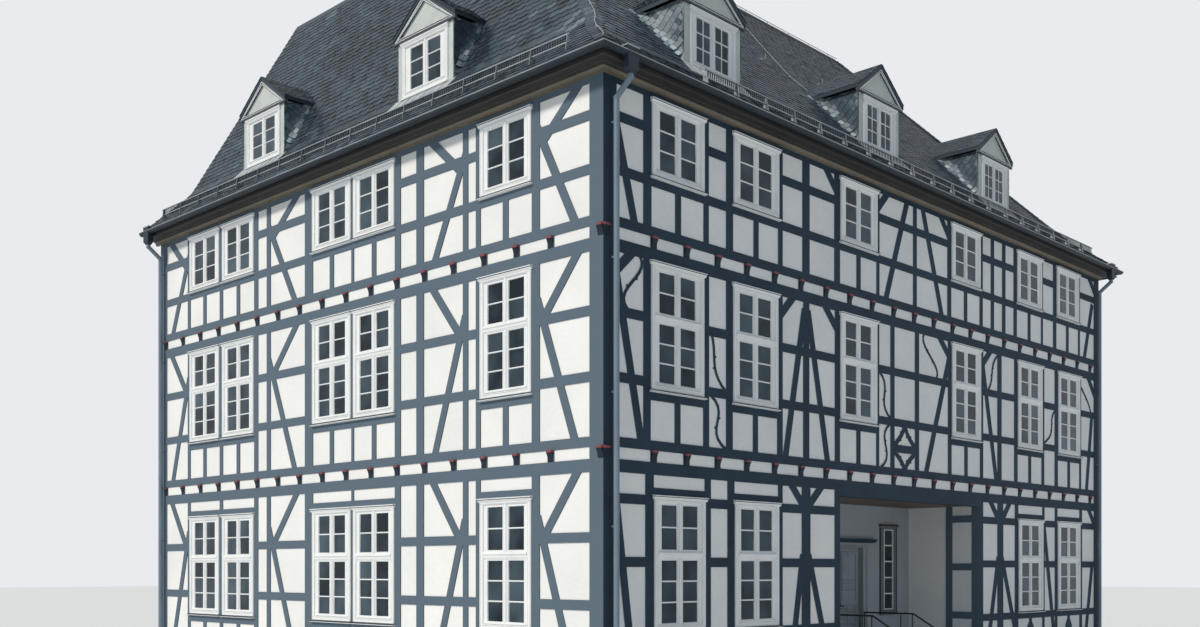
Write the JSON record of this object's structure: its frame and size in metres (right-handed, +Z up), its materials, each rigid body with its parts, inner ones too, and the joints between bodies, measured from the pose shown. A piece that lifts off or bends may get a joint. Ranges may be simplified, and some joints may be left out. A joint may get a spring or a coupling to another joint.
{
  "type": "half timbered house",
  "caption": "Three-storey half timbered town house on a stone plinth, with a hipped slate roof, dormers, a recessed porch with steps and a double door that opens inwards.",
  "frame": {"origin": "centre of the bounding box on the ground", "axes": "+X along the front to the right, +Y from the front to the back, +Z up"},
  "size_m": [21.17, 16.65, 17.725],
  "materials": {
    "oak": "dark blue-grey painted oak, satin",
    "plaster": "white lime plaster, matt",
    "porch_plaster": "warm grey plaster, matt",
    "stone": "dressed sandstone, matt",
    "slate": "split slate, satin",
    "painted_wood": "off-white gloss paint on wood",
    "eaves_board": "brown-grey painted boards",
    "door_wood": "grey painted wood",
    "floor_boards": "floor boards on joists",
    "zinc": "weathered zinc sheet",
    "ironwork": "dark painted wrought iron",
    "window_glass": "clear glass"
  },
  "bodies": {
    "house": {"plinth": "stone", "ground_floor": "floor_boards", "first_floor": "floor_boards", "second_floor": "floor_boards", "attic_floor": "floor_boards", "front_frame_left": "oak", "front_frame_right": "oak", "front_frame_first": "oak", "front_frame_second": "oak", "front_infill_left": "plaster", "front_infill_right": "plaster", "front_infill_first": "plaster", "front_infill_second": "plaster", "left_frame": "oak", "left_infill": "plaster", "right_frame": "oak", "right_infill": "plaster", "rear_frame": "oak", "rear_infill": "plaster", "return_frame": "oak", "return_infill": "plaster", "wing_end_frame": "oak", "wing_end_infill": "plaster", "front_windows": "painted_wood", "side_windows": "painted_wood", "rear_windows": "painted_wood", "front_glass": "window_glass", "side_glass": "window_glass", "rear_glass": "window_glass", "porch_lintel": "oak", "porch_ceiling": "eaves_board", "porch_side_frames": "oak", "porch_side_walls": "porch_plaster", "porch_back_left": "porch_plaster", "porch_back_right": "porch_plaster", "porch_back_over": "porch_plaster", "porch_windows": "painted_wood", "porch_glass": "window_glass", "door_frame": "door_wood", "door_cornice": "door_wood", "entrance_steps": "stone", "stair_treads": "stone", "stair_rails": "ironwork", "front_slope": "slate", "rear_slope": "slate", "left_slope": "slate", "right_slope": "slate", "wing_slope": "slate", "eaves": "eaves_board", "gutters": "zinc", "downpipes": "zinc", "ridge_caps": "zinc", "dormer_walls": "slate", "dormer_roofs": "slate", "dormer_windows": "painted_wood", "dormer_glass": "window_glass", "dormer_pediments": "painted_wood", "snow_guards": "zinc"},
    "left_leaf": {"door_leaf_left": "door_wood"},
    "right_leaf": {"door_leaf_right": "door_wood"}
  },
  "joints": [
    {"name": "left_leaf_hinge", "type": "hinge", "parent": "house", "child": "left_leaf", "pos_m": [-0.99, -5.243, 1.5], "axis": [0, 0, 1], "range_deg": [0, 90]},
    {"name": "right_leaf_hinge", "type": "hinge", "parent": "house", "child": "right_leaf", "pos_m": [0.82, -5.243, 1.5], "axis": [0, 0, -1], "range_deg": [0, 90]}
  ]
}
